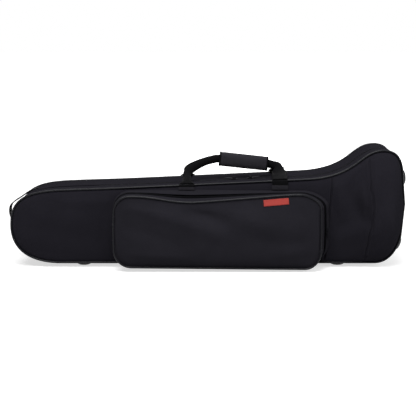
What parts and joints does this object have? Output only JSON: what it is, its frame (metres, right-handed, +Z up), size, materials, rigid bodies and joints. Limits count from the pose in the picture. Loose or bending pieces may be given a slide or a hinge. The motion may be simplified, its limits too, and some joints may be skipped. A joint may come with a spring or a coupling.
{
  "type": "trombone case",
  "caption": "Soft-covered clamshell trombone case with a flared bell end, front pocket, padded carrying handle and rubber feet.",
  "frame": {"origin": "middle of the part's own box, at the level the four bottom feet stand on", "axes": "+X along the case from the slide end to the bell end, +Y from the pocket side to the rear, +Z up with the case on its long edge"},
  "size_m": [0.9872, 0.298, 0.2885],
  "materials": {
    "nylon": "matt black nylon cloth",
    "pocket_nylon": "matt black nylon cloth, slightly worn",
    "foam": "matt dark closed-cell foam",
    "plush": "dark plush pile",
    "vinyl": "satin vinyl welt",
    "webbing": "ribbed nylon webbing",
    "padding": "matt padded nylon",
    "zip_tape": "woven tape with a moulded coil",
    "foot_rubber": "satin black rubber",
    "zip_metal": "black lacquered metal",
    "ribbon": "woven red ribbon"
  },
  "bodies": {
    "base": {"base_cover": "nylon", "base_shell": "foam", "base_lining": "plush", "rear_piping": "vinyl", "base_zipper_tape": "zip_tape", "hinge_gusset": "nylon", "base_foot_slide": "foot_rubber", "base_foot_bell": "foot_rubber", "base_end_foot_low": "foot_rubber", "base_end_foot_high": "foot_rubber", "rear_anchor_left": "webbing", "rear_anchor_right": "webbing", "end_handle": "webbing", "bell_cradle": "foam", "neck_cradle": "foam", "bin_divider": "plush", "mouthpiece_block": "foam"},
    "lid": {"lid_cover": "nylon", "lid_shell": "foam", "lid_lining": "plush", "front_piping": "vinyl", "lid_zipper_tape": "zip_tape", "lid_foot_slide": "foot_rubber", "lid_foot_bell": "foot_rubber", "lid_end_foot_low": "foot_rubber", "lid_end_foot_high": "foot_rubber", "pocket_gusset": "pocket_nylon", "pocket_gusset_tape": "zip_tape", "pocket_hinge": "pocket_nylon", "front_anchor_left": "webbing", "front_anchor_right": "webbing", "slide_cradle_outer": "foam", "slide_cradle_inner": "foam", "slide_strap_outer": "webbing", "slide_strap_inner": "webbing"},
    "pocket_front": {"pocket_panel": "pocket_nylon", "pocket_rim": "pocket_nylon", "pocket_piping": "vinyl", "pocket_panel_tape": "zip_tape", "label_patch": "ribbon"},
    "slider_left": {"slider_left": "zip_metal"},
    "slider_right": {"slider_right": "zip_metal"},
    "pull_left": {"pull_left": "zip_metal"},
    "pull_right": {"pull_right": "zip_metal"},
    "pocket_slider": {"pocket_slider": "zip_metal"},
    "pocket_pull": {"pocket_pull": "zip_metal"},
    "front_handle": {"front_strap": "webbing", "wrap_front": "padding"},
    "rear_handle": {"rear_strap": "webbing", "wrap_rear": "padding"}
  },
  "joints": [
    {"name": "lid_hinge", "type": "hinge", "parent": "base", "child": "lid", "pos_m": [0, -0.002, 0.012], "axis": [1, 0, 0], "range_deg": [0, 150], "deforming": ["hinge_gusset"]},
    {"name": "pocket_open", "type": "hinge", "parent": "lid", "child": "pocket_front", "pos_m": [0.0362, -0.1095, 0.0145], "axis": [1, 0, -0.0047], "range_deg": [0, 60], "deforming": ["pocket_hinge"]},
    {"name": "slider_left_slide", "type": "slide", "parent": "base", "child": "slider_left", "axis": [-0.9989, 0, -0.0469], "range_m": [0, 0.4]},
    {"name": "slider_right_slide", "type": "slide", "parent": "base", "child": "slider_right", "axis": [0.9989, 0, 0.0469], "range_m": [0, 0.115]},
    {"name": "pull_left_hinge", "type": "hinge", "parent": "slider_left", "child": "pull_left", "pos_m": [0.074, -0.002, 0.2121], "axis": [0, 1, 0], "range_deg": [0, 170]},
    {"name": "pull_right_hinge", "type": "hinge", "parent": "slider_right", "child": "pull_right", "pos_m": [0.114, -0.002, 0.214], "axis": [0, -1, 0], "range_deg": [0, 170]},
    {"name": "pocket_slider_slide", "type": "slide", "parent": "lid", "child": "pocket_slider", "axis": [0, 0, 1], "range_m": [-0.033, 0.042]},
    {"name": "pocket_pull_hinge", "type": "hinge", "parent": "pocket_slider", "child": "pocket_pull", "pos_m": [0.2974, -0.1095, 0.099], "axis": [0, -1, 0], "range_deg": [0, 170]},
    {"name": "front_handle_hinge", "type": "hinge", "parent": "lid", "child": "front_handle", "pos_m": [0.0704, -0.08, 0.2078], "axis": [0.9989, 0, 0.0469], "range_deg": [0, 155]},
    {"name": "rear_handle_hinge", "type": "hinge", "parent": "base", "child": "rear_handle", "pos_m": [0.0704, 0.112, 0.2078], "axis": [-0.9989, 0, -0.0469], "range_deg": [0, 175]}
  ]
}
